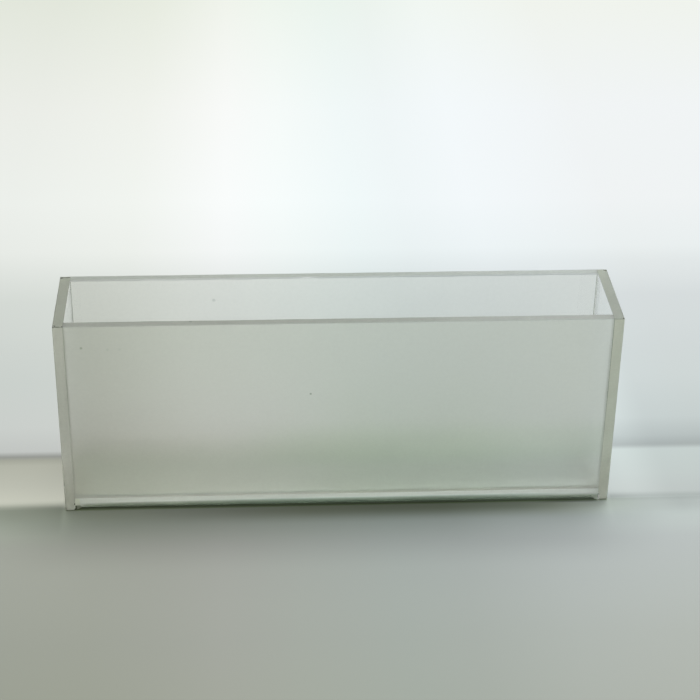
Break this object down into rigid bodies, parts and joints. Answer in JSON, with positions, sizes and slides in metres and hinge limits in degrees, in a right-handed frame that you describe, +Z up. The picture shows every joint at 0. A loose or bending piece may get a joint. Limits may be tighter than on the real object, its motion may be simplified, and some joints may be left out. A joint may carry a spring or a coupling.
{
  "type": "cuvette",
  "caption": "Open rectangular glass cell with clear end windows, ground side walls and a raised base, holding liquid along a long light path.",
  "frame": {"origin": "middle of the rectangle that the cell stands on, at the level of the windows' lower edges", "axes": "+X along the light path, from the left window to the right one; +Y across the cell, away from the front side wall; +Z up, out of the open top"},
  "size_m": [0.1038, 0.0196, 0.04],
  "materials": {
    "clear_glass": "polished faces with ground edges, faint green-grey",
    "ground_glass": "ground all over, finely matt, lets light through without showing what is behind",
    "base_glass": "ground edges with a smoothed lower radius",
    "bond_glass": "glossy, uneven bead"
  },
  "bodies": {
    "root": {"window_left": "clear_glass", "window_right": "clear_glass", "wall_front": "ground_glass", "wall_back": "ground_glass", "base_plate": "base_glass", "bond_fillets": "bond_glass"}
  },
  "joints": []
}
